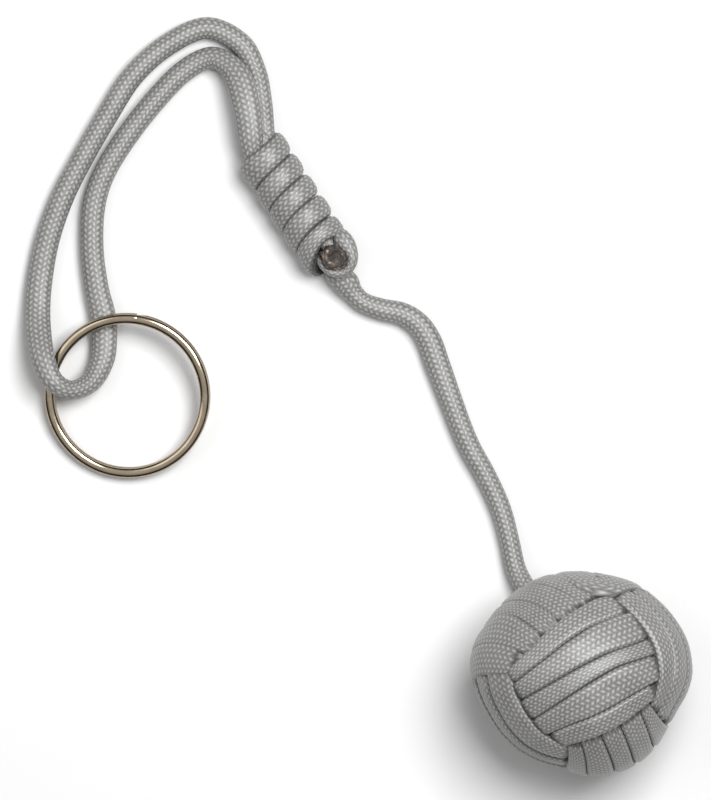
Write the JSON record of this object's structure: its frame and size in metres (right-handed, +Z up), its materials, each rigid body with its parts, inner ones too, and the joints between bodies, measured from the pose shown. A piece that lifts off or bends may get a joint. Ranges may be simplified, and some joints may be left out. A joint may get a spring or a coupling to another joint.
{
  "type": "monkey fist knot keychain",
  "caption": "Braided cord keychain: a monkey fist knot wound round a steel ball, a straight cord, a coil knot with a melted end, and a loop that carries a split ring.",
  "frame": {"origin": "on the table, under the middle of the rigid pieces' box: the fist, the coil knot and the split ring", "axes": "+Z up from the table the keychain lies on; the loop and ring lie towards -X and +Y, and the fist towards +X and -Y"},
  "size_m": [0.1191, 0.1376, 0.0388],
  "materials": {
    "grey_nylon_cord": "braided, matt with a slight sheen",
    "steel_core": "plain ball, hidden",
    "nickel_ring": "polished nickel plate",
    "melted_end": "melted nylon, dark and rough"
  },
  "bodies": {
    "knot": {"coil_wraps": "grey_nylon_cord", "standing_strand": "grey_nylon_cord", "tail_strand": "grey_nylon_cord", "cut_end": "melted_end", "eye_turn": "grey_nylon_cord"},
    "loop": {"loop_cord": "grey_nylon_cord"},
    "ring": {"split_ring": "nickel_ring"},
    "link": {"link_cord": "grey_nylon_cord"},
    "fist": {"core_ball": "steel_core", "first_turns": "grey_nylon_cord", "second_turns": "grey_nylon_cord", "third_turns": "grey_nylon_cord"}
  },
  "joints": [
    {"name": "loop_swing", "type": "hinge", "parent": "knot", "child": "loop", "pos_m": [-0.01972, 0.05965, 0.00475], "axis": [0, 0, 1], "range_deg": [-40, 15]},
    {"name": "ring_spin", "type": "hinge", "parent": "loop", "child": "ring", "pos_m": [-0.04298, 0.01052, 0.00411], "axis": [-0.0928, -0.1608, 0.9826], "continuous": true},
    {"name": "link_swing", "type": "hinge", "parent": "knot", "child": "link", "pos_m": [-0.00358, 0.0314, 0.00232], "axis": [0, 0, 1], "range_deg": [-50, 80]},
    {"name": "fist_swing", "type": "hinge", "parent": "link", "child": "fist", "pos_m": [0.03132, -0.0279, 0.00532], "axis": [0, 0, 1], "range_deg": [-60, 60]}
  ]
}
